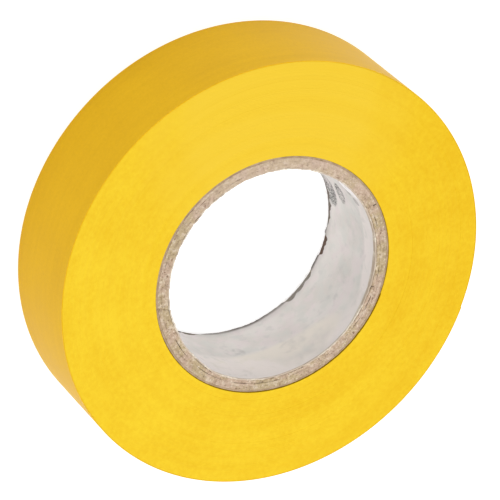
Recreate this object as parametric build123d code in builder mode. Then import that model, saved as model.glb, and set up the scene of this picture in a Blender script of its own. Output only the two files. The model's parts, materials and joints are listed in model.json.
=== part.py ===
"""A roll of PVC insulating tape wound on a paperboard core.

The roll lies on one side face. Z is the winding axis and points up through the bore, and the
origin is on that axis, in the plane that the roll rests on.

The core is a slice of spiral-wound tube: a white liner, three board plies and a kraft outer ply.
Each ply was a strip wound at a slant, so each one is a ring that is open along one slanting butt
seam.

The tape is one strip, film outside and adhesive inside, and every turn is stuck down on the turn
below. The inner turns are one bonded block. The outermost turn climbs by one tape thickness as it
goes round, so the free end leaves a step. The last stretch, up to the cut end, is made of short
links that hinge on each other, because that stretch peels off the roll and bends as it goes.
"""

import os
from math import cos, degrees, pi, radians, sin

from build123d import *

# Driving dimensions, in millimetres and degrees -------------------------------------------------

roll_diameter = 78.0  # over the cut end of the outermost turn
tape_width = 19.0
film_thickness = 0.11
adhesive_thickness = 0.02

core_bore_diameter = 38.8
core_recess = 0.15  # how far each end of the core stands inside the side faces of the tape
liner_thickness = 0.25
board_ply_thickness = 0.60
board_ply_count = 3
outer_ply_thickness = 0.35

seam_gap = 0.20  # between the two butted edges of a ply, across the seam
seam_slant = 45.0  # of every seam, from the direction of the axis
liner_seam_direction = 250.0  # where a seam crosses mid-width, anticlockwise from +X
seam_spread = 203.0  # from the seam of one ply to the seam of the next

free_end_direction = 118.0  # of the cut end of the tape, anticlockwise from +X
link_length = 10.0  # of each link of the free end, along the outside of the film
link_count = 5

# Worked out from them ---------------------------------------------------------------------------

tape_thickness = film_thickness + adhesive_thickness
roll_radius = roll_diameter / 2
core_bore_radius = core_bore_diameter / 2
core_width = tape_width - 2 * core_recess
first_board_radius = core_bore_radius + liner_thickness
outer_ply_radius = first_board_radius + board_ply_count * board_ply_thickness
core_radius = outer_ply_radius + outer_ply_thickness

# The outermost turn is two half circles a half thickness apart in radius. Their centres lie a
# quarter thickness each side of the axis, in line with the free end, so that the halves run
# smoothly into each other and the turn climbs by one thickness.
centre_offset = tape_thickness / 4
late_half_radius = roll_radius - centre_offset  # of the outer face, on the half before the free end
early_half_radius = late_half_radius - tape_thickness / 2  # the same, on the half before that
link_angle = degrees(link_length / late_half_radius)
peel_angle = link_count * link_angle  # from the cut end back to where the links begin
half_turn = 180.0


def place(direction, radius, centre=0.0):
    """The point at a radius and a direction, from a centre off the axis towards the free end."""
    return (
        centre * cos(radians(free_end_direction)) + radius * cos(radians(direction)),
        centre * sin(radians(free_end_direction)) + radius * sin(radians(direction)),
    )


def late_arc(depth, back_from, back_to):
    """An arc at a depth under the outer face, between two angles back from the free end."""
    CenterArc(
        place(0, 0, centre_offset),
        late_half_radius - depth,
        free_end_direction - back_from,
        back_from - back_to,
    )


def early_arc(depth):
    """The whole of the earlier half turn, at a depth under the outer face."""
    CenterArc(
        place(0, 0, -centre_offset),
        early_half_radius - depth,
        free_end_direction,
        half_turn,
    )


def step_line(depth, thickness):
    """Across a layer where the outermost turn begins, under the cut end."""
    Line(
        place(free_end_direction, roll_radius - tape_thickness - depth),
        place(free_end_direction, roll_radius - tape_thickness - depth - thickness),
    )


def end_line(depth, thickness, back_from):
    """Across a layer, at an angle back from the cut end."""
    direction = free_end_direction - back_from
    Line(
        place(direction, late_half_radius - depth, centre_offset),
        place(direction, late_half_radius - depth - thickness, centre_offset),
    )


def keep(part, label):
    """Names a finished piece and writes it."""
    part.label = label
    export_step(part, f"parts/{label}.step")
    print(f"{label}: {part.volume:.3f} mm3")


# The core ---------------------------------------------------------------------------------------


def make_ply(label, inner_radius, thickness, seam_direction):
    """One ply of the core: a ring that is open along its slanting butt seam."""
    slot_depth = inner_radius  # across the wall, and still short of the far side of the ring
    slot_length = 2 * core_width  # long enough to pass both ends of the core at a slant
    across_wall = Plane(
        origin=(*place(seam_direction, inner_radius + thickness / 2), tape_width / 2),
        x_dir=(-sin(radians(seam_direction)), cos(radians(seam_direction)), 0),
        z_dir=(cos(radians(seam_direction)), sin(radians(seam_direction)), 0),
    )
    with BuildPart() as ply:
        with BuildSketch(Plane.XY.offset(core_recess)):
            Circle(inner_radius + thickness)
            Circle(inner_radius, mode=Mode.SUBTRACT)
        extrude(amount=core_width)
        with BuildSketch(across_wall):
            Rectangle(seam_gap, slot_length, rotation=-seam_slant)
        extrude(amount=slot_depth / 2, both=True, mode=Mode.SUBTRACT)
    keep(ply.part, label)


os.makedirs("parts", exist_ok=True)

make_ply("core_liner_ply", core_bore_radius, liner_thickness, liner_seam_direction)
for ply in range(board_ply_count):
    make_ply(
        f"core_board_ply_{ply + 1}",
        first_board_radius + ply * board_ply_thickness,
        board_ply_thickness,
        liner_seam_direction + (ply + 1) * seam_spread,
    )
make_ply(
    "core_outer_ply",
    outer_ply_radius,
    outer_ply_thickness,
    liner_seam_direction + (board_ply_count + 1) * seam_spread,
)

# The tape ---------------------------------------------------------------------------------------

# The bonded block of turns on the core. Its outside steps where the outermost turn begins.
with BuildPart() as inner_turns:
    with BuildSketch():
        with BuildLine():
            late_arc(tape_thickness, half_turn, 0)
            early_arc(tape_thickness)
            step_line(0, tape_thickness)
        make_face()
        Circle(core_radius, mode=Mode.SUBTRACT)
    extrude(amount=tape_width)
keep(inner_turns.part, "tape_inner_turns")


def make_outer_turn(label, depth, thickness):
    """One layer of the outermost turn, from the step in the inner turns to the first link."""
    with BuildPart() as layer:
        with BuildSketch():
            with BuildLine():
                for face_depth in (depth, depth + thickness):
                    early_arc(face_depth)
                    late_arc(face_depth, half_turn, peel_angle)
                step_line(depth, thickness)
                end_line(depth, thickness, peel_angle)
            make_face()
        extrude(amount=tape_width)
    keep(layer.part, label)


def make_link(label, depth, thickness, back_from):
    """One layer of one link of the free end."""
    with BuildPart() as link:
        with BuildSketch():
            with BuildLine():
                for face_depth in (depth, depth + thickness):
                    late_arc(face_depth, back_from, back_from - link_angle)
                for edge_back in (back_from, back_from - link_angle):
                    end_line(depth, thickness, edge_back)
            make_face()
        extrude(amount=tape_width)
    keep(link.part, label)


make_outer_turn("tape_outer_turn_film", 0, film_thickness)
make_outer_turn("tape_outer_turn_adhesive", film_thickness, adhesive_thickness)
for link in range(link_count):
    back_from = peel_angle - link * link_angle
    make_link(f"tape_end_film_{link + 1}", 0, film_thickness, back_from)
    make_link(f"tape_end_adhesive_{link + 1}", film_thickness, adhesive_thickness, back_from)

# What was made ----------------------------------------------------------------------------------

tape_length = pi * (roll_radius**2 - core_radius**2) / tape_thickness
turn_count = (roll_radius - core_radius) / tape_thickness
print(f"core {2 * core_radius:.1f} mm over its outer ply and {core_width:.1f} mm wide")
print(f"about {tape_length / 1000:.1f} m of tape in {turn_count:.0f} turns")
for link in range(link_count):
    hinge_direction = free_end_direction - peel_angle + link * link_angle
    x, y = place(hinge_direction, late_half_radius, centre_offset)
    print(f"hinge line of link {link + 1}: x {x:.4f}, y {y:.4f}")
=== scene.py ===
# %% [markdown]
# # A roll of electrical tape
# The roll lies on its side face, with the winding axis straight up. It is a slice of paper tube,
# and one long strip of yellow PVC tape wound on it. This lesson builds what shows: the ends of
# some 130 turns, the smooth outermost turn, the cut end that peels off, and the frayed tube.
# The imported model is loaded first. It says where everything is, and every piece here is made
# in the same place and at the same size.

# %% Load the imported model
import json
from math import cos, hypot, pi, radians, sin

import bmesh
import bpy
import numpy as np
from mathutils import Matrix, Vector


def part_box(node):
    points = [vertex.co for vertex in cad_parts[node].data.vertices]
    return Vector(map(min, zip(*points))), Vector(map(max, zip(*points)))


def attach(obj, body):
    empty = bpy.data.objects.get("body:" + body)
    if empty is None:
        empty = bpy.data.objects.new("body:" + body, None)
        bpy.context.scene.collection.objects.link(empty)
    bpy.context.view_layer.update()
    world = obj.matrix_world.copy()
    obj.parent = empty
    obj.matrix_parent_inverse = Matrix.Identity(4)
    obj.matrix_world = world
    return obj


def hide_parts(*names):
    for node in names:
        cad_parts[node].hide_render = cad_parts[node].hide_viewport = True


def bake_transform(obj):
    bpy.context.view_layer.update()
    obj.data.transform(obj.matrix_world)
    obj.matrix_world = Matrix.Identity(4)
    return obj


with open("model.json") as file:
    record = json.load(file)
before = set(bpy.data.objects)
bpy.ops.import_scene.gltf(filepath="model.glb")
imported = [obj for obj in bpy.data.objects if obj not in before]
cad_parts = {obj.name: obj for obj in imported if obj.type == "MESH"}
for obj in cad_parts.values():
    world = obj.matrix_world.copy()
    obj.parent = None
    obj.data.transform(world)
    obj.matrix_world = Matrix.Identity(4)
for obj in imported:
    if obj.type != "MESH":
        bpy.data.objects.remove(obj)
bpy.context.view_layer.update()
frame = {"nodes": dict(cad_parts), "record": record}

# %% [markdown]
# ## Sizes
# A maker needs the radii of the layers, from the bore outwards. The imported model's boxes give
# most of them: half the width of a ply's box is the radius of its outside. The radius of the
# bore is in the record, with the mount that a spindle fits. The film and its adhesive are
# thinner than a box can tell, so they are named here as the maker of the tape would state them.

# %% Sizes
mm = 0.001


def outside_radius(node):
    """Half the width of a round node's box."""
    low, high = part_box(node)
    return (high.x - low.x) / 2


board_count = 3
bore_mount = next(m for m in frame["record"]["mounts"] if m["name"] == "bore")
bore_radius = bore_mount["dims"]["r_mm"] * mm
liner_radius = outside_radius("core_liner_ply")
board_radii = [outside_radius(f"core_board_ply_{ply + 1}") for ply in range(board_count)]
core_radius = outside_radius("core_outer_ply")
core_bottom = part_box("core_outer_ply")[0].z
core_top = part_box("core_outer_ply")[1].z
tape_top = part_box("tape_inner_turns")[1].z

film = 0.11 * mm
adhesive = 0.02 * mm
tape = film + adhesive
free_end_direction = radians(118)
link_length = 10 * mm
link_count = 5
free_length = link_count * link_length
cut_end = frame["nodes"]["tape_end_film_5"].data.vertices
roll_radius = max(hypot(corner.co.x, corner.co.y) for corner in cut_end)
turn_count = int((roll_radius - core_radius) / tape)
print(f"bore {bore_radius / mm:.2f}, core {core_radius / mm:.2f}, roll {roll_radius / mm:.2f} mm")
print(f"{turn_count} turns of tape")

# %% [markdown]
# ## Camera
# The roll is seen from well above its side face, and the picture is turned so that the face
# looks down to the right and the outermost turn shows at the upper left. A long lens from far
# away keeps the circles nearly free of perspective, as a product picture does. The camera is
# placed from three things: how steeply it looks down, how far it is turned about its own line of
# sight, and how far the middle of the face lies from the middle of the picture.

# %% Camera
look_down = radians(53.88)
picture_turn = radians(133.03)
lens_length = 267  # in mm, as camera makers state it
sensor_width = 36
farthest_seen = 20  # metres
camera_distance = 16.061 * roll_radius
face_right = 0.1049 * roll_radius
face_down = 0.1119 * roll_radius

level_right = Vector((1, 0, 0))
level_up = Vector((0, sin(look_down), cos(look_down)))
towards_camera = Vector((0, -cos(look_down), sin(look_down)))
picture_right = level_right * cos(picture_turn) + level_up * sin(picture_turn)
picture_up = level_up * cos(picture_turn) - level_right * sin(picture_turn)
face_middle = Vector((0, 0, tape_top))

camera = bpy.data.objects.new("camera", bpy.data.cameras.new("camera"))
camera.data.lens = lens_length
camera.data.sensor_width = sensor_width
camera.data.clip_end = farthest_seen
axes = Matrix((picture_right, picture_up, towards_camera)).transposed().to_4x4()
camera_place = (
    face_middle - picture_right * face_right + picture_up * face_down
    + towards_camera * camera_distance
)
camera.matrix_world = Matrix.Translation(camera_place) @ axes
bpy.context.scene.collection.objects.link(camera)
bpy.context.scene.camera = camera
print(f"camera {camera_distance:.3f} m away, at {tuple(round(x, 3) for x in camera_place)}")

# %% [markdown]
# ## One class for shader maths
# A shader is a sum, like any other, but Blender draws each step as a node. This class wraps the
# output of a node, so that a sum written in Python adds the Math nodes that it needs. Colours
# and vectors don't go through it, because a Math node would turn them grey.


# %% Shader maths
class Value:
    """A number on its way through a shader. Sums on it add Math nodes."""

    def __init__(self, finish, socket):
        self.finish = finish
        self.socket = socket

    def step(self, operation, *others):
        return self.finish.node("Math", {"operation": operation}, self, *others)

    def __add__(self, other):
        return self.step("ADD", other)

    def __sub__(self, other):
        return self.step("SUBTRACT", other)

    def __rsub__(self, other):
        return self.finish.node("Math", {"operation": "SUBTRACT"}, other, self)

    def __mul__(self, other):
        return self.step("MULTIPLY", other)

    def __truediv__(self, other):
        return self.step("DIVIDE", other)

    __radd__ = __add__
    __rmul__ = __mul__

    def clamp(self):
        return self.finish.node("Clamp", {}, self)

    def rise(self, low, high):
        """0 below low, 1 above high, and smooth between. It falls instead if low is above high."""
        settings = {"interpolation_type": "SMOOTHSTEP"}
        start, end = (0, 1) if low < high else (1, 0)
        low, high = min(low, high), max(low, high)
        return self.finish.node("MapRange", settings, self, low, high, start, end)


class Finish:
    """A material, with one method that adds nodes."""

    def __init__(self, name):
        self.material = bpy.data.materials.new(name)
        self.material.use_nodes = True
        self.tree = self.material.node_tree
        self.tree.nodes.clear()
        self.output = self.tree.nodes.new("ShaderNodeOutputMaterial")

    def node(self, kind, settings, *inputs, out=0, **named):
        """Adds a node of a kind, sets its settings, and then fills its sockets."""
        added = self.tree.nodes.new("ShaderNode" + kind)
        for key, value in settings.items():
            setattr(added, key, value)
        for place, value in list(enumerate(inputs)) + list(named.items()):
            key = place.replace("_", " ") if isinstance(place, str) else place
            self.fill(added.inputs[key], value)
        return Value(self, added.outputs[out])

    def fill(self, socket, value):
        if isinstance(value, Value):
            self.tree.links.new(value.socket, socket)
        elif value is not None:
            socket.default_value = value

    def place(self):
        """Where a point of the piece is, in the frame of the whole roll."""
        return self.node("TexCoord", {}, out="Object")

    def parts(self, point):
        """The X, Y and Z of a point, each as a value."""
        return [self.node("SeparateXYZ", {}, point, out=axis) for axis in "XYZ"]

    def stretched(self, point, scale):
        return self.node("VectorMath", {"operation": "MULTIPLY"}, point, scale)

    def noise(self, point, grain, detail=2.0, roughness=0.5):
        """A cloudy pattern about grain metres across, around 0.5."""
        found = {"Scale": 1 / grain, "Detail": detail, "Roughness": roughness}
        return self.node("TexNoise", {"noise_dimensions": "3D"}, point, out=0, **found)

    def mix(self, share, first, second):
        """Between two colours, by a share from 0 to 1."""
        other_kinds = [None] * 5  # the node's sockets for numbers and vectors
        return self.node("Mix", {"data_type": "RGBA"}, share, *other_kinds, first, second, out=2)

    def bump(self, height, depth):
        """A normal from a height that goes from 0 to 1 over a depth in metres."""
        return self.node("Bump", {}, Strength=1.0, Distance=depth, Height=height)

    def surface(self, **sockets):
        """The shader itself, and the end of the material."""
        shader = self.node("BsdfPrincipled", {}, **sockets)
        self.tree.links.new(shader.socket, self.output.inputs["Surface"])
        return self.material


print("shader maths ready")

# %% [markdown]
# ## Light and floor
# A product picture on white has light from everywhere, and a little more from above. Three things
# give that here: a pale world all round, one large soft lamp over the face, and a floor that
# glows slightly, like a light table, so that it stays white where the roll shades it. The lamp
# makes the side face brighter than the outermost turn. The glow of the floor keeps the hollow
# of the core bright.

# %% Light
scene = bpy.context.scene
scene.view_settings.view_transform = "Standard"

world = bpy.data.worlds.new("studio")
world.use_nodes = True
world.node_tree.nodes["Background"].inputs["Color"].default_value = (1.0, 1.0, 1.0, 1)
world.node_tree.nodes["Background"].inputs["Strength"].default_value = 0.52
scene.world = world


def soft_lamp(name, place, aim, width, power):
    """A square lamp that lights evenly and throws soft shadows."""
    lamp = bpy.data.objects.new(name, bpy.data.lights.new(name, "AREA"))
    lamp.data.shape = "SQUARE"
    lamp.data.size = width
    lamp.data.energy = power
    lamp.location = place
    lamp.rotation_mode = "QUATERNION"
    lamp.rotation_quaternion = (Vector(aim) - Vector(place)).to_track_quat("-Z", "Y")
    scene.collection.objects.link(lamp)
    return lamp


soft_lamp("overhead", (0.08, 0.13, 0.85), (0, 0, 0), 0.7, 7.0)
print("world and one lamp")

# %% Floor
floor_size = 6.0
floor_steps = 12
floor_drop = 0.00002  # below the roll, so that the two faces are not in one plane

floor_mesh = bpy.data.meshes.new("floor")
sheet = bmesh.new()
bmesh.ops.create_grid(sheet, x_segments=floor_steps, y_segments=floor_steps, size=floor_size / 2)
sheet.to_mesh(floor_mesh)
sheet.free()
floor = bpy.data.objects.new("floor", floor_mesh)
floor.location.z = -floor_drop
scene.collection.objects.link(floor)

finish = Finish("pale_floor")
cloud = finish.noise(finish.place(), 0.12)
floor_mesh.materials.append(finish.surface(
    Base_Color=finish.mix(cloud, (0.50, 0.50, 0.50, 1), (0.53, 0.53, 0.53, 1)),
    Roughness=0.8,
    Specular_IOR_Level=0.2,
    Emission_Color=(1, 1, 1, 1),
    Emission_Strength=0.72,
))
print("floor", floor_size, "m wide")

# %% [markdown]
# ## Helpers for meshes
# Most pieces of a roll are one outline that travels round the axis. The outline can be given as
# a list of points for every station on the way, and a helper joins the stations with faces and
# closes the two ends. Real edges waver a little, so a second helper gives a smooth random field.
# It is a sum of waves with random directions from a fixed seed, so every run gives the same
# roll. Each piece also gets a flat map of its surface, which a later bake can use.

# %% Mesh helpers


def soft_noise(points, grain, seed, waves=28):
    """A smooth random field: mostly -1 to 1, with hills about a grain apart."""
    draw = np.random.default_rng(seed)
    headings = draw.normal(size=(waves, 3))
    headings /= np.linalg.norm(headings, axis=1)[:, None]
    pitches = grain * draw.uniform(0.8, 2.4, waves)
    starts = draw.uniform(0, 2 * pi, waves)
    points = np.asarray(points, float)
    total = np.zeros(points.shape[:-1])
    for heading, pitch, start in zip(headings, pitches, starts):
        total += np.cos(points @ heading * (2 * pi / pitch) + start)
    return total / np.sqrt(waves)


def around(direction, radius, height):
    """Points from directions in radians, radii and heights."""
    direction, radius, height = np.broadcast_arrays(direction, radius, height)
    return np.stack([radius * np.cos(direction), radius * np.sin(direction), height], axis=-1)


def fade(value, start, end):
    """0 at start, 1 at end, and smooth between."""
    share = np.clip((value - start) / (end - start), 0, 1)
    return share * share * (3 - 2 * share)


def new_piece(name, points, faces, places, material, crease=35):
    """A closed mesh from points, faces and the place of each face corner on the flat map."""
    mesh = bpy.data.meshes.new(name)
    mesh.from_pydata([tuple(p) for p in points], [], faces)
    flat = mesh.uv_layers.new(name="OFBake")
    flat.data.foreach_set("uv", np.asarray(places, np.float32).ravel())
    tidy = bmesh.new()
    tidy.from_mesh(mesh)
    bmesh.ops.recalc_face_normals(tidy, faces=tidy.faces)
    open_edges = sum(not edge.is_manifold for edge in tidy.edges)
    tidy.to_mesh(mesh)
    tidy.free()
    mesh.polygons.foreach_set("use_smooth", [True] * len(mesh.polygons))
    mesh.set_sharp_from_angle(angle=radians(crease))
    mesh.materials.append(material)
    piece = bpy.data.objects.new(name, mesh)
    scene.collection.objects.link(piece)
    triangles = sum(len(face.vertices) - 2 for face in mesh.polygons)
    print(f"{name}: {triangles} triangles, {open_edges} open edges")
    return piece


def sweep(name, outlines, material, crease=35):
    """Joins closed outlines, one for each station, and closes the first and the last."""
    outlines = np.asarray(outlines)
    stations, corners = outlines.shape[:2]
    along = np.cumsum(np.r_[0, np.linalg.norm(np.diff(outlines[:, 0], axis=0), axis=1)])
    across = np.cumsum(np.r_[0, np.linalg.norm(
        np.roll(outlines[0], -1, axis=0) - outlines[0], axis=1)])
    along, across = 0.9 * along / along[-1], across / across[-1]
    faces, places = [], []
    for i in range(stations - 1):
        for j in range(corners):
            k = (j + 1) % corners
            faces.append([i * corners + j, i * corners + k,
                          (i + 1) * corners + k, (i + 1) * corners + j])
            places += [(along[i], across[j]), (along[i], across[j + 1]),
                       (along[i + 1], across[j + 1]), (along[i + 1], across[j])]
    for end, shift in ((0, 0.0), (stations - 1, 0.5)):
        rim = outlines[end]
        faces.append([end * corners + j for j in range(corners)])
        depth = np.hypot(rim[:, 0], rim[:, 1])
        depth = (depth - depth.min()) / max(np.ptp(depth), 1e-9)
        height = (rim[:, 2] - rim[:, 2].min()) / max(np.ptp(rim[:, 2]), 1e-9)
        places += [(0.91 + 0.08 * d, shift + 0.01 + 0.45 * h) for d, h in zip(depth, height)]
    return new_piece(name, outlines.reshape(-1, 3), faces, places, material, crease)


print("mesh helpers ready")

# %% [markdown]
# ## The spiral
# The tape climbs by its own thickness in each turn. Counted back from the cut end, its outer face
# starts at the radius of the roll and loses one thickness a turn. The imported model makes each
# turn from two half circles whose centres are a little apart, so the climb isn't quite even
# round the turn: it is fastest a quarter turn from the cut end, and again at three quarters.
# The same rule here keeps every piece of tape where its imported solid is.

# %% Spiral
tightness = 0.004 * mm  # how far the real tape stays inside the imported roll's facets


def outer_face(back):
    """The radius of the film's outer face, some turns back from the cut end."""
    whole = np.floor(back)
    part = 2 * pi * (back - whole)
    climb = np.where(part < pi, (1 - np.cos(part)) / 4, (3 + np.cos(part)) / 4)
    return roll_radius - tightness - tape * (whole + climb)


def heading(back):
    """The direction of a point on the tape, in radians. The tape winds anticlockwise outwards."""
    return free_end_direction - 2 * pi * back


def slip(back):
    """How far the tape lies out of line sideways, in metres. The winder guides it well."""
    back = np.asarray(back, float)
    radius = outer_face(back)
    run = np.stack([back * 0.9, np.zeros_like(back), np.zeros_like(back)], axis=-1)
    bands = np.stack([radius / (1.6 * mm), 0.25 * np.cos(heading(back)),
                      0.25 * np.sin(heading(back))], axis=-1)
    drift = 0.008 * soft_noise(run, 1.0, 3) + 0.011 * soft_noise(bands, 1.0, 4)
    return np.clip(drift, -0.04, 0.04) * mm


print(f"the tape starts on the core {turn_count} turns back")

# %% [markdown]
# ## Places on the roll
# Stains, scuffs and torn spots belong to one place. Such a place is given as on a clock: a
# direction round the axis, a height, and a size across and up. The finish changes with how far
# a point lies from the place, so nothing has to be painted on a picture.

# %% Places on the roll


def spot(point_x, point_y, point_z, direction, height, wide, tall, radius=bore_radius):
    """1 near a place and 0 outside an ellipsoid round it. Degrees, and then mm."""
    from_x = point_x - radius * cos(radians(direction))
    from_y = point_y - radius * sin(radians(direction))
    rise = (point_z - height * mm) / (tall * mm)
    return ((from_x * from_x + from_y * from_y) / (wide * mm) ** 2 + rise * rise).rise(1.0, 0.55)


def towards(point_x, point_y, direction):
    """How far a point lies from the axis in one direction, given in degrees."""
    return point_x * cos(radians(direction)) + point_y * sin(radians(direction))


print("places are given by direction and height")

# %% [markdown]
# ## Yellow PVC, two ways
# A log of tape is slit by knives, so the side face of a roll is the cut edges of all its turns.
# It is matt, with faint rings and clouds where the knife and the tension varied. The face of
# the film is different: it was pressed between rollers, so it is smoother and a deeper yellow.
# So there are two materials, and they differ in colour, in gloss and in pattern.
# The rings are noise that hardly changes along the turn and changes quickly across it.

# %% Tape edges
finish = Finish("slit_tape_edges")
point = finish.place()
x, y, height = finish.parts(point)
radius = (x * x + y * y).step("SQRT")
ring_place = finish.node("CombineXYZ", {}, radius, x * 0.03, y * 0.03)
rings = finish.noise(ring_place, 0.55 * mm, detail=1.0)
wide_rings = finish.noise(ring_place, 2.6 * mm, detail=1.0)
clouds = finish.noise(point, 7 * mm, detail=3.0)
grain = finish.noise(point, 0.8 * mm, detail=3.0, roughness=0.6)
deep = (0.68, 0.415, 0.004, 1)
light = (0.745, 0.513, 0.014, 1)
# Painted light: a painted gradient makes the side face lighter towards 340 degrees.
paler = towards(x, y, 340) / roll_radius
pattern = 0.35 * rings + 0.45 * wide_rings + 0.9 * clouds + 1.4 * grain
share = (pattern - 1.05 + 0.25 * paler).clamp()
colour = finish.mix(share, deep, light)
# Painted sheen: a lighter, bluer patch round 227 degrees stands in for the lamp's reflection.
sheen_radius = 30 * mm  # a paler patch in the middle of the wound area
painted_sheen = (spot(x, y, height, 227, 19.0, 28.0, 12.0, radius=sheen_radius)
         + spot(x, y, height, 227, 19.0, 20.0, 12.0, radius=sheen_radius))
painted_sheen = painted_sheen * (0.2 + 0.5 * wide_rings)
colour = finish.mix(painted_sheen, colour, (0.725, 0.488, 0.024, 1))
tape_edges = finish.surface(
    Base_Color=colour,
    Roughness=0.5 + 0.12 * rings,
    Normal=finish.bump(0.5 * rings + 0.5 * grain, 0.02 * mm),
    Specular_IOR_Level=0.12,
)
print("tape edges ready")

# %% Film face
finish = Finish("calendered_film")
point = finish.place()
drawn_out = finish.stretched(point, (0.06, 0.06, 1))
streaks = finish.noise(drawn_out, 1.1 * mm, detail=2.0)
clouds = finish.noise(point, 9 * mm, detail=2.0)
grain = finish.noise(point, 0.45 * mm, detail=1.0)
share = (0.8 * streaks + 0.9 * clouds + 1.0 * grain - 0.85).clamp()
colour = finish.mix(share, (0.735, 0.41, 0.002, 1), (0.815, 0.475, 0.006, 1))
tape_film = finish.surface(
    Base_Color=colour,
    Roughness=0.36 + 0.1 * clouds + 0.06 * grain,
    Normal=finish.bump(0.5 * grain + 0.5 * streaks, 0.012 * mm),
    Specular_IOR_Level=0.05,
)
print("film face ready")

# %% [markdown]
# ## Adhesive
# Under the film is a thin coat of rubber adhesive. It shows only on the inside of the free end
# when that is pulled away. It is sticky and shiny, lets the yellow through, and has fine
# wrinkles where it let go of the turn below.

# %% Adhesive
finish = Finish("rubber_adhesive")
point = finish.place()
pulled = finish.noise(finish.stretched(point, (1, 1, 0.25)), 0.7 * mm, detail=2.0)
clouds = finish.noise(point, 4 * mm)
tape_glue = finish.surface(
    Base_Color=finish.mix(clouds, (0.66, 0.37, 0.02, 1), (0.74, 0.45, 0.035, 1)),
    Roughness=0.12 + 0.16 * pulled,
    Normal=finish.bump(pulled, 0.015 * mm),
    Coat_Weight=0.3,
)
print("adhesive ready")

# %% [markdown]
# ## Paperboard, kraft paper and liner
# The core is cut from a long spiral tube, so its end shows raw board: short grey-brown fibres,
# pale where they are torn and dark in the gaps. The kraft ply round it is an even brown. The
# white liner inside is a smooth, slightly grey paper. It has faint clouds and scuffs where rolls
# slid on a spindle. A painted shadow darkens the lower rim of the liner, and of the board where
# the liner is torn away, where the roll meets the floor.

# %% Board
finish = Finish("grey_brown_board")
point = finish.place()
x, y, height = finish.parts(point)
clumps = finish.noise(point, 1.1 * mm, detail=4.0, roughness=0.65)
fibres = finish.noise(point, 0.45 * mm, detail=3.0, roughness=0.75)
patches = finish.noise(point, 4 * mm, detail=3.0, roughness=0.6)
colour = finish.mix(patches.rise(0.4, 0.6), (0.42, 0.325, 0.195, 1), (0.46, 0.335, 0.25, 1))
colour = finish.mix(clumps.rise(0.50, 0.66) * 0.75, colour, (0.60, 0.50, 0.385, 1))
colour = finish.mix(clumps.rise(0.48, 0.30) * 0.75, colour, (0.27, 0.195, 0.12, 1))
colour = finish.mix(fibres.rise(0.56, 0.68) * 0.65, colour, (0.74, 0.64, 0.50, 1))
colour = finish.mix(fibres.rise(0.45, 0.32) * 0.8, colour, (0.16, 0.11, 0.07, 1))
crumbs = finish.noise(point, 0.9 * mm, detail=1.0)
colour = finish.mix(crumbs.rise(0.66, 0.74) * 0.8, colour, (0.16, 0.085, 0.045, 1))
# Painted sheen: the end of the board turns lighter and more pink towards 225 degrees.
board_sheen = (towards(x, y, 225) / core_radius).rise(0.4, 0.9)
colour = finish.mix(board_sheen * 0.38, colour, (0.56, 0.43, 0.35, 1))
at_bore = (x * x + y * y).step("SQRT").rise(liner_radius + 0.35 * mm, liner_radius + 0.1 * mm)
grey_tear = at_bore * spot(x, y, height, 94, 0.6, 4.2, 2.4)
brown_tear = at_bore * spot(x, y, height, 120.5, 0.6, 3.0, 2.6)
# Painted shadow: the board is darkened along the lower rim of the bore, where the roll meets the
# floor.
board_rim_shadow = spot(x, y, height, 146, 0.8, 13.0, 3.0) + spot(x, y, height, 18, 1.0, 9.0, 3.0)
board_rim_shadow = at_bore * board_rim_shadow.clamp()
colour = finish.mix(board_rim_shadow * (0.6 + 0.4 * clumps), colour, (0.115, 0.105, 0.10, 1))
colour = finish.mix(grey_tear * (0.6 + 0.4 * clumps), colour, (0.22, 0.22, 0.21, 1))
colour = finish.mix(brown_tear * (0.6 + 0.4 * clumps), colour, (0.13, 0.08, 0.06, 1))
board = finish.surface(
    Base_Color=colour,
    Roughness=0.85 + 0.1 * clumps,
    Normal=finish.bump(fibres, 0.06 * mm),
    Specular_IOR_Level=0.2,
)
print("board ready")

# %% Kraft paper
finish = Finish("brown_kraft_paper")
point = finish.place()
clumps = finish.noise(point, 1.2 * mm, detail=3.0, roughness=0.6)
fibres = finish.noise(point, 0.35 * mm, detail=3.0, roughness=0.7)
colour = finish.mix(clumps.rise(0.3, 0.7), (0.31, 0.215, 0.13, 1), (0.42, 0.31, 0.21, 1))
colour = finish.mix(fibres.rise(0.58, 0.76) * 0.6, colour, (0.58, 0.48, 0.35, 1))
kraft = finish.surface(
    Base_Color=colour,
    Roughness=0.8 + 0.1 * fibres,
    Normal=finish.bump(fibres, 0.05 * mm),
    Specular_IOR_Level=0.2,
)
print("kraft paper ready")

# %% Liner paper
finish = Finish("white_liner_paper")
point = finish.place()
x, y, height = finish.parts(point)
clouds = finish.noise(point, 6 * mm, detail=3.0)
mottle = finish.noise(point, 1.6 * mm, detail=2.0)
fibres = finish.noise(point, 0.4 * mm, detail=2.0, roughness=0.6)
colour = finish.mix(clouds.rise(0.35, 0.65), (0.69, 0.655, 0.62, 1), (0.755, 0.725, 0.695, 1))
colour = finish.mix(mottle.rise(0.52, 0.70) * 0.45, colour, (0.60, 0.58, 0.565, 1))
blotches = finish.noise(point, 2.8 * mm, detail=2.0)
colour = finish.mix(blotches.rise(0.50, 0.62) * 0.5, colour, (0.77, 0.69, 0.69, 1))
colour = finish.mix(blotches.rise(0.48, 0.36) * 0.5, colour, (0.66, 0.665, 0.63, 1))
warm = spot(x, y, height, 58, 14.5, 15.0, 5.5)
colour = finish.mix(warm * clouds.rise(0.25, 0.6) * 0.85, colour, (0.83, 0.775, 0.695, 1))

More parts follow.
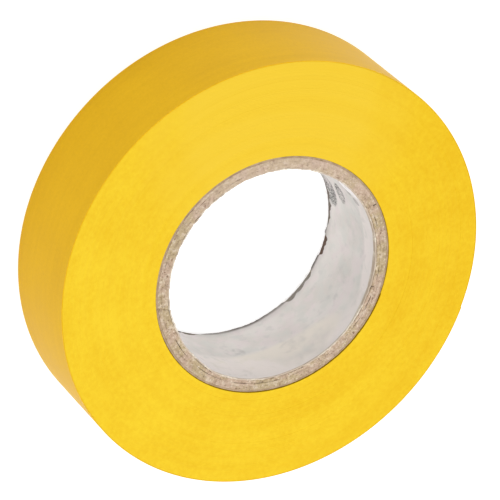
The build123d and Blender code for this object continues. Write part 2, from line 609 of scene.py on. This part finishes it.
# The scuffs are dark, where a spindle rubbed, and the smudges grey, where fingers did.
scuffs = (spot(x, y, height, 155, 2.6, 3.6, 2.6) + spot(x, y, height, 159.5, 7.4, 2.4, 1.7)).clamp()
scuffs = (scuffs * (0.4 + 0.8 * mottle.rise(0.34, 0.62))).clamp()
specks = finish.noise(point, 0.17 * mm, detail=0.0)
rubbed = 0.16 + 0.84 * specks.rise(0.40, 0.58)
colour = finish.mix(scuffs * rubbed, colour, (0.06, 0.057, 0.054, 1))
smudges = (spot(x, y, height, 42, 8.4, 2.2, 1.9) + 0.6 * spot(x, y, height, 70, 12, 3, 2)
           + 0.5 * spot(x, y, height, 110, 10, 4, 3)).clamp()
colour = finish.mix(smudges * mottle.rise(0.3, 0.75) * 0.4, colour, (0.40, 0.39, 0.38, 1))
# The liner is made lighter towards its top rim, and in two patches.
paler_upper_band = height.rise(14.5 * mm, 17.6 * mm) * clouds.rise(0.35, 0.6)
pale = spot(x, y, height, 31, 16.0, 10.0, 6.5) + spot(x, y, height, 150, 17.0, 14.0, 3.0)
paler_upper_band = (paler_upper_band + pale * mottle.rise(0.25, 0.55)).clamp()
colour = finish.mix(paler_upper_band * 0.75, colour, (0.88, 0.815, 0.785, 1))
shadow_band = height.rise(2.6 * mm, 0.5 * mm) * (0.2 + 0.4 * mottle)
colour = finish.mix(shadow_band, colour, (0.42, 0.40, 0.39, 1))
# Painted shadow: a dark line along the lower rim of the liner, where the roll meets the floor.
liner_rim_shadow = height.rise(1.15 * mm, 0.4 * mm)
liner_rim_shadow = liner_rim_shadow * (0.6 + 0.38 * clouds.rise(0.3, 0.6))
colour = finish.mix(liner_rim_shadow, colour, (0.14, 0.125, 0.115, 1))

# The fray at the upper rim is board-coloured, with white paper only where it is freshly torn.
rim = (height.rise(18.4 * mm, 18.75 * mm) + spot(x, y, height, 137, 18.95, 15.0, 1.3)).clamp()
colour = finish.mix(rim * 0.9, colour, (0.47, 0.37, 0.27, 1))
fresh = rim * finish.noise(point, 2.5 * mm, detail=2.0).rise(0.46, 0.58)
colour = finish.mix(fresh * (0.25 + 0.6 * fibres.rise(0.4, 0.6)), colour, (0.74, 0.68, 0.57, 1))
scrap = spot(x, y, height, 175, 15.4, 1.9, 3.4) * mottle.rise(0.25, 0.45)
colour = finish.mix(scrap, colour, (1.0, 0.97, 0.96, 1))
dark_flecks = spot(x, y, height, 165, 14.9, 0.9, 1.2) + spot(x, y, height, 170, 13.0, 1.3, 1.3)
colour = finish.mix(dark_flecks.clamp() * 0.6, colour, (0.36, 0.34, 0.33, 1))
liner = finish.surface(
    Base_Color=colour,
    Roughness=0.6 + 0.15 * clouds,
    Normal=finish.bump(0.5 * fibres + 0.5 * mottle, 0.02 * mm),
    Specular_IOR_Level=0.3,
)
print("liner paper ready")

# %% [markdown]
# ## The wound turns
# The side face of the roll is the edges of about 130 turns, each a tenth of a millimetre wide
# and lying a hair higher or lower than its neighbour. A flat ring with a bump map would look
# right only from far away. Here the block is one true spiral, cut off at the core and under the
# outermost turn. Every station has two rings of corners, at the outer and inner edge of the
# turn, and a small slope leads on to the next turn. The slip of the tape moves both side faces
# together, because the tape is equally wide everywhere.

# %% Wound turns
stations = 160  # in one turn
turns = turn_count - 2  # without the outermost turn and the one that the core's start takes
bevel = 0.012 * mm  # at each edge of a turn
face_margin = 0.045 * mm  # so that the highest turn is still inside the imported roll
groove_depth = 0.5 * mm  # between the tape and the core, at the side faces

count = turns * stations + 1
back = 1 + np.arange(count) / stations
side_slip = slip(back)
lean = 0.002 * mm * soft_noise(np.stack([back * 1.3, 0 * back, 0 * back], axis=-1), 1.0, 8)
directions = heading(back)
outer_edge = outer_face(back) - bevel
inner_edge = outer_face(back + 1) + bevel

points, faces, places, films = [], [], [], []


def add_points(new):
    """Adds points and gives the number of the first."""
    start = len(points)
    points.extend(map(tuple, new))
    return start


def on_map(vertex, corner):
    """The place of a side face's point on the flat map, in the lower left or lower right."""
    spread = 0.24 / roll_radius
    return (0.25 + 0.5 * corner + points[vertex][0] * spread, 0.25 + points[vertex][1] * spread)


rings = {}
for side, level in (("top", tape_top - face_margin), ("bottom", face_margin)):
    rings[side] = (
        add_points(around(directions, outer_edge, level + side_slip + lean)),
        add_points(around(directions, inner_edge, level + side_slip - lean)),
    )
for corner, side in enumerate(("top", "bottom")):
    outer, inner = rings[side]
    for i in range(count - 1):
        quads = [[outer + i, outer + i + 1, inner + i + 1, inner + i]]
        if i + stations < count - 1:
            quads.append([inner + i, inner + i + 1, outer + i + 1 + stations, outer + i + stations])
        for quad in quads:
            faces.append(quad)
            places += [on_map(vertex, corner) for vertex in quad]
            films.append(0)
print(len(faces), "faces on the two sides")

# %% Walls of the wound block
last = count - 1
first_inner = last - stations
step_down = groove_depth + 0.2 * mm
inner_directions = directions[first_inner:last]
groove_radius = inner_edge[first_inner:]
groove_top = add_points(around(directions[first_inner:], groove_radius, tape_top - groove_depth))
wall_top = add_points(around(inner_directions, core_radius, tape_top - step_down))
wall_bottom = add_points(around(inner_directions, core_radius, step_down))
groove_bottom = add_points(around(directions[first_inner:], groove_radius, groove_depth))


def add_wall(quad, i, low, high, shows_film=0):
    """A face of a wall, with its strip of the flat map between two heights."""
    left, right = i / stations, (i + 1) / stations
    faces.append(quad)
    places.extend([(left, low), (right, low), (right, high), (left, high)])
    films.append(shows_film)


top_outer, top_inner = rings["top"]
bottom_outer, bottom_inner = rings["bottom"]
for i in range(stations):
    j = (i + 1) % stations
    k = first_inner + i
    add_wall([bottom_outer + i, bottom_outer + i + 1, top_outer + i + 1, top_outer + i],
             i, 0.52, 0.62, shows_film=1)
    add_wall([top_inner + k, top_inner + k + 1, groove_top + i + 1, groove_top + i],
             i, 0.64, 0.66)
    add_wall([groove_top + i, groove_top + i + 1, wall_top + j, wall_top + i], i, 0.67, 0.69)
    add_wall([wall_top + i, wall_top + j, wall_bottom + j, wall_bottom + i], i, 0.7, 0.8)
    add_wall([wall_bottom + i, wall_bottom + j, groove_bottom + i + 1, groove_bottom + i],
             i, 0.81, 0.83)
    add_wall([groove_bottom + i, groove_bottom + i + 1, bottom_inner + k + 1, bottom_inner + k],
             i, 0.84, 0.86)


def add_end(polygon, low):
    """A face where the spiral is cut off, with its own place on the flat map."""
    sizes = np.array([points[vertex] for vertex in polygon])
    reach = np.hypot(sizes[:, 0], sizes[:, 1])
    reach = (reach - reach.min()) / np.ptp(reach)
    rise = (sizes[:, 2] - sizes[:, 2].min()) / np.ptp(sizes[:, 2])
    faces.append(polygon)
    places.extend([(low + 0.08 * a, 0.9 + 0.08 * b) for a, b in zip(reach, rise)])
    films.append(0)


add_end([top_outer, top_inner, top_outer + stations,
         bottom_outer + stations, bottom_inner, bottom_outer], 0.1)
add_end([top_inner + first_inner, top_outer + last, top_inner + last,
         groove_top + stations, wall_top, groove_top], 0.3)
add_end([bottom_inner + first_inner, bottom_outer + last, bottom_inner + last,
         groove_bottom + stations, wall_bottom, groove_bottom], 0.5)

wound = new_piece("tape_wound_turns", points, faces, places, tape_edges, crease=8)
wound.data.materials.append(tape_film)
wound.data.polygons.foreach_set("material_index", films)
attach(wound, "roll")
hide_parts("tape_inner_turns")

# %% [markdown]
# ## The outermost turn and the free end
# The outermost turn is the only one whose face shows. It is made of two layers, as the tape is,
# so that its adhesive shows when it peels. It ends where the links of the free end begin. The
# free end is soft in life and a chain of stiff links in the imported model. Here it is cut into
# strips, one for each link, which follow the spiral on the roll. Neighbouring strips share their
# end stations, so no gap opens. The cut end isn't a perfect line, because the tape stretched a
# little as it was cut.

# %% Layers of tape
ripple_depth = 0.008 * mm
glue_inset = 0.12 * mm
ragged_depth = 0.10 * mm  # of the cut end
levels = np.linspace(0, 1, 9)
one_turn = 2 * pi * (roll_radius - tape / 4)
root_back = free_length / one_turn  # turns back from the cut end
outer_turn_stations = 480


def tape_layer(back, depth, thickness, inset):
    """Outlines of one layer of tape at some places on it, counted in turns from the cut end."""
    back = np.asarray(back, float)[:, None]
    low = face_margin + inset + slip(back)
    high = tape_top - face_margin - inset + slip(back)
    height = low + (high - low) * levels[None, :]
    ragged = ragged_depth * (0.6 + 0.4 * soft_noise(around(0.0, height, height * 0), 1.3 * mm, 21))
    back = back + ragged / one_turn * (1 - fade(back * one_turn, 0, 2 * mm))
    direction = heading(back)
    radius = outer_face(back)
    spots = around(direction, radius, height)
    ripple = 0.5 + 0.5 * np.clip(soft_noise(spots, 9 * mm, 22), -1, 1)
    radius = radius - ripple_depth * ripple
    outside = around(direction, radius - depth, height)
    inside = around(direction, radius - depth - thickness, height)
    return np.concatenate([outside, inside[:, ::-1]], axis=1)


layers = {
    "film": dict(depth=0, thickness=film, inset=0, material=tape_film, slot="tape_film"),
    "adhesive": dict(depth=film, thickness=adhesive, inset=glue_inset, material=tape_glue,
                     slot="tape_adhesive"),
}


def tape_piece(name, layer, backs, *nodes):
    """One layer of a stretch of tape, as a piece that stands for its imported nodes."""
    facts = layers[layer]
    outlines = tape_layer(backs, facts["depth"], facts["thickness"], facts["inset"])
    piece = sweep(name, outlines, facts["material"])
    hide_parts(*nodes)
    return piece


for layer in layers:
    turn = tape_piece(f"tape_outermost_{layer}", layer,
                      np.linspace(1, root_back, outer_turn_stations), f"tape_outer_turn_{layer}")
    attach(turn, "roll")

# %% Strips of the free end
# The cuts and the reach of each bend were found by a search for the most even curve.
cuts = np.array([0, 3, 18.4, 27.7, 38.7, 50]) * mm  # along the free end, from its root
bend_before = np.array([0, 7.1, 13.4, 11.5, 12.9]) * mm  # before each hinge
bend_after = np.array([3, 11.7, 13.0, 11.4, 21.1]) * mm  # and after it
strip_steps = [25, 41, 41, 41, 41]


def line_place(run, reach=0):
    """A point of the free end's outer face at mid-width, or some way off it on the tangent."""
    back = root_back - run / one_turn
    x, y, z = around(heading(back), outer_face(back), tape_top / 2)
    along = heading(back)
    return (float(x - reach * sin(along)), float(y + reach * cos(along)), float(z))


for strip in range(link_count):
    hinge = strip * link_length
    steps = np.linspace(cuts[strip], cuts[strip + 1], strip_steps[strip])
    backs = root_back - steps / one_turn
    for layer in layers:
        piece = tape_piece(f"tape_free_end_{layer}_{strip + 1}", layer, backs,
                           f"tape_end_{layer}_{strip + 1}")
        line_place(hinge, -bend_before[strip])
        line_place(hinge, bend_after[strip])
        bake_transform(piece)

# %% [markdown]
# ## The plies of the core
# Each ply was a strip of paper wound at a slant, with its edges butted. So a ply is a ring that
# is open along a slanting seam. The sweep starts at one edge of the seam, goes round and ends at
# the other edge. The rings are worked out for every point: the ends are roughened by the saw,
# and the plies part a little near the ends. Over about half of the upper end the first two
# board plies have come unstuck, which leaves a dark crack. In one place a knife nicked it, and in
# another the top of the core gave way and leans into the bore.

# %% Rings of paper
seam_gap = 0.2 * mm
mid_height = (core_bottom + core_top) / 2
liner_seam = radians(250)
seam_spread = radians(203)
ring_stations = 760
knife_direction = 323.5  # of the nick in the end of the core, in degrees
knife_slant = 2.2
knife_width = 0.35
knife_depth = 0.30 * mm


def window(direction, low, high, soft=6):
    """1 between two directions in degrees, and 0 outside, with soft ends."""
    offset = (np.degrees(direction) - (low + high) / 2 + 180) % 360 - 180
    return 1 - fade(np.abs(offset), (high - low) / 2 - soft / 2, (high - low) / 2 + soft / 2)


def ply_outlines(inner, outer, seam, stations, inner_heights, outer_heights, edge_points):
    """Outlines of a ring: up its inner wall, over its top, down its outer wall and back."""
    share = np.linspace(0, 1, edge_points + 2)[1:-1]
    radii = np.r_[[inner] * len(inner_heights), inner + (outer - inner) * share,
                  [outer] * len(outer_heights), outer + (inner - outer) * share]
    heights = np.r_[inner_heights, [core_top] * edge_points,
                    outer_heights[::-1], [core_bottom] * edge_points]
    middle = (inner + outer) / 2
    half_gap = seam_gap / cos(radians(45)) / 2 / middle
    seam_line = seam + np.arcsin((heights - mid_height) / middle)
    turn = np.linspace(half_gap, 2 * pi - half_gap, stations)
    direction = turn[:, None] + seam_line[None, :]
    return direction, np.tile(radii, (stations, 1)), np.tile(heights, (stations, 1))


def saw_marks(direction, radius, height, seed):
    """Moves the points of a ring's two ends up and down, as a saw leaves cut board."""
    spots = around(direction, radius, height)
    rough = 0.030 * soft_noise(spots, 0.45 * mm, seed)
    rough = (rough + 0.035 * soft_noise(spots, 2.2 * mm, seed + 1)) * mm
    slant = knife_slant * (core_radius - radius) / (core_radius - bore_radius)
    knife_offset = (np.degrees(direction) - knife_direction - slant + 180) % 360 - 180
    knife = knife_depth * np.exp(-(knife_offset / knife_width) ** 2)
    top = fade(height, core_top - 0.35 * mm, core_top)
    bottom = 1 - fade(height, core_bottom, core_bottom + 0.35 * mm)
    lift = np.clip(rough, -0.12 * mm, 0.09 * mm) - 0.02 * mm
    return height + top * (lift - knife) - bottom * np.clip(lift, -0.1 * mm, 0.1 * mm)


def near_ends(height, reach):
    """1 at either end of the core, and 0 further in than a reach."""
    return fade(np.abs(height - mid_height), core_top - mid_height - reach, core_top - mid_height)


core_width = core_top - core_bottom
near_end_steps = np.array([0, 0.25, 0.8]) * mm
wall_heights = core_bottom + np.r_[near_end_steps, np.linspace(2 * mm, core_width - 2 * mm, 12),
                                   core_width - near_end_steps[::-1]]
radii = [bore_radius, liner_radius] + board_radii + [core_radius]
names = ["core_liner_ply"] + [f"core_board_ply_{ply + 1}" for ply in range(board_count)]
names = names + ["core_outer_ply"]
print("plies at", [round(r / mm, 2) for r in radii])

# %% Lean of the inner plies
lean_depth = 0.30 * mm
lean_start = 14 * mm  # the height where the core begins to lean


def leaning(direction, radius, height):
    """How far a point is pushed towards the hole, where the top of the core gave way."""
    place = window(direction, -28, 6, 16)
    place = lean_depth * place * (1 - fade(radius, bore_radius, core_radius))
    return place * fade(height, lean_start, core_top)


# %% Board and kraft plies
for ply in range(1, len(names)):
    inner, outer = radii[ply], radii[ply + 1]
    kraft_ply = names[ply] == "core_outer_ply"
    direction, radius, height = ply_outlines(
        inner, outer, liner_seam + ply * seam_spread, ring_stations, wall_heights,
        wall_heights, 2 if kraft_ply else 4)
    spots = around(direction, radius, height)
    outside = fade(radius, inner, outer)
    part = 0.004 + 0.010 * soft_noise(spots, 2.5 * mm, 40 + ply)
    part = near_ends(height, 0.9 * mm) * part * mm
    radius = radius + part * (1 - 2 * outside)
    if ply in (1, 2):
        crack = np.maximum(window(direction, -16, 84), window(direction, 96, 168))
        ragged = 0.35 + 0.45 * np.clip(soft_noise(spots, 3 * mm, 50), -0.7, 1)
        opening = near_ends(height, 0.8 * mm) * (height > mid_height) * crack * ragged * 0.07 * mm
        radius = radius - opening * outside if ply == 1 else radius + opening * (1 - outside)
    radius = radius - leaning(direction, radius, height)
    height = saw_marks(direction, radius, height, 60 + 3 * ply)
    if kraft_ply:
        height = height - 0.05 * mm * (height > mid_height) * near_ends(height, 0.4 * mm)
    piece = sweep(f"{names[ply]}_paper", around(direction, radius, height),
                  kraft if kraft_ply else board, crease=60)
    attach(piece, "roll")
    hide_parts(names[ply])

# %% [markdown]
# ## The liner
# The liner is one white paper ply, and its inner face is all that shows of the bore. Paper on a
# spiral tube is never a perfect cylinder: it has shallow dents, and the seams of the plies
# behind show through. The top rim is frayed into a burr. At the lower rim the paper was torn away
# in four places when the tube was sawn, and the board shows there. One white scrap stands off
# the wall, near the top. A fine grid of points carries all of this as real shape.

# %% Liner
liner_heights = core_bottom + core_width * np.linspace(0, 1, 64)
direction, radius, height = ply_outlines(
    bore_radius, liner_radius, liner_seam, ring_stations, liner_heights, wall_heights, 2)
spots = around(direction, radius, height)
inside = 1 - fade(radius, bore_radius, liner_radius)

dents = 0.030 * soft_noise(spots, 5 * mm, 71) + 0.012 * soft_noise(spots, 1.6 * mm, 72)
ply_seam = liner_seam + seam_spread + np.arcsin((height - mid_height) / bore_radius)
seam_offset = (np.degrees(direction - ply_seam) + 180) % 360 - 180
dents = dents - 0.05 * np.exp(-(seam_offset / 1.4) ** 2)
radius = radius - inside * np.clip(dents, -0.07, 0.05) * mm

scrap = window(direction, 171.5, 178.5, 3) * fade(height, 12.6 * mm, 13.4 * mm)
scrap = scrap * (1 - fade(height, 16.2 * mm, 17.6 * mm))
radius = radius - inside * scrap * 0.16 * mm

flat_spots = around(direction, bore_radius, height * 0)
tooth = soft_noise(flat_spots, 0.9 * mm, 73)
tear = 1.35 * window(direction, 115, 126, 2.5) * (1 + 0.22 * tooth)
tear = tear + 1.2 * window(direction, 84, 104.5, 4) * (1 + 0.1 * tooth)
tear = tear + 1.7 * window(direction, 5, 30, 16) * (1 + 0.1 * tooth)
tear = tear + 1.3 * window(direction, 132, 160, 14) * (1 + 0.15 * tooth)
tear = tear + 0.10 * np.clip(soft_noise(flat_spots, 1.6 * mm, 74), 0, 1)
worn = 0.12 * window(direction, 105, 168, 24) * (1 + 0.3 * soft_noise(flat_spots, 2.5 * mm, 77))
worn = worn + 0.15 * np.clip(soft_noise(flat_spots, 1.3 * mm, 78), 0, 1)
height = height + tear * mm * (1 - fade(height, core_bottom, core_bottom + 5 * mm))
height = height - worn * mm * fade(height, core_top - 3 * mm, core_top)

radius = radius - leaning(direction, radius, height)
height = saw_marks(direction, radius, height, 80)
burr = 0.2 + 0.5 * soft_noise(flat_spots, 0.8 * mm, 75) + 0.9 * soft_noise(flat_spots, 6 * mm, 76)
burr = np.clip(burr, 0, 1.6)
rim = near_ends(height, 0.45 * mm) * (height > mid_height)
height = height + rim * burr * 0.06 * mm
radius = radius - rim * burr * 0.09 * mm
height = np.minimum(height, tape_top - 0.01 * mm)

liner_piece = sweep("core_liner_paper", around(direction, radius, height), liner, crease=60)
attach(liner_piece, "roll")
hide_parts("core_liner_ply")

# %% [markdown]
# ## Loose fibres
# Sawn board sheds fibres. They stand out of the raw end, most of all along the inner rim, and they
# are what makes a core look like paper at a glance. Each one is a thin tapered rod with a bend
# in it. There are a few hundred, so they are all one mesh. Every rod is closed, and starts a
# little way down in the board.

# %% Fibres
fibre_count = 460
fibre_sides = 4
fibre_steps = 4
map_columns, map_rows = 23, 20  # each fibre has a cell of its own on the flat map
map_step = 0.008
draw = np.random.default_rng(91)
points, faces, places = [], [], []
for number in range(fibre_count):
    at_rim = number % 3 == 0
    direction = draw.uniform(0, 2 * pi)
    low, high = (bore_radius, liner_radius) if at_rim else (liner_radius, core_radius - 0.1 * mm)
    radius = draw.uniform(low, high)
    on_top = draw.random() < 0.6
    level = core_top if on_top else core_bottom
    upwards = 1 if on_top else -1
    length = draw.uniform(0.25, 0.9) * mm
    girth = draw.uniform(0.012, 0.028) * mm
    travel = draw.uniform(0, 2 * pi)
    bend = draw.uniform(-1.2, 1.2)
    foot = np.array([radius * cos(direction), radius * sin(direction),
                     level - upwards * 0.03 * mm])
    start = len(points)
    for step in range(fibre_steps + 1):
        share = step / fibre_steps
        forward = np.array([cos(travel + bend * share), sin(travel + bend * share), 0])
        climb = upwards * min(0.09, 0.25 * length / mm) * mm * sin(pi * min(share * 1.2, 1))
        centre = foot + forward * length * share + np.array([0, 0, climb])
        reach = hypot(centre[0], centre[1])
        centre[:2] *= min(max(reach, bore_radius - 0.05 * mm), core_radius) / reach
        sideways = np.array([-forward[1], forward[0], 0])
        thick = girth * (1 - 0.75 * share)
        for side in range(fibre_sides):
            turn = 2 * pi * side / fibre_sides
            outwards = sideways * cos(turn) + np.array([0, 0, sin(turn)])
            points.append(tuple(centre + thick * outwards))
    left, low = number % map_columns / map_columns, number // map_columns / map_rows
    for step in range(fibre_steps):
        for side in range(fibre_sides):
            other = (side + 1) % fibre_sides
            a, b = start + step * fibre_sides, start + (step + 1) * fibre_sides
            faces.append([a + side, a + other, b + other, b + side])
            near, far = left + map_step * step, left + map_step * (step + 1)
            under, over = low + map_step * side, low + map_step * (side + 1)
            places += [(near, under), (near, over), (far, over), (far, under)]
    for end in (start, start + fibre_steps * fibre_sides):
        faces.append([end + side for side in range(fibre_sides)])
        near, far, over = left + 0.036, left + 0.040, low + 0.01
        places += [(near, low), (far, low), (far, over), (near, over)]

fibre_paper = Finish("loose_fibres")
tone = fibre_paper.noise(fibre_paper.place(), 1.5 * mm)
fibre_finish = fibre_paper.surface(
    Base_Color=fibre_paper.mix(tone.rise(0.4, 0.6), (0.42, 0.32, 0.21, 1), (0.82, 0.76, 0.66, 1)),
    Roughness=0.9,
)
fibres = new_piece("core_fibres", points, faces, places, fibre_finish, crease=60)
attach(fibres, "roll")
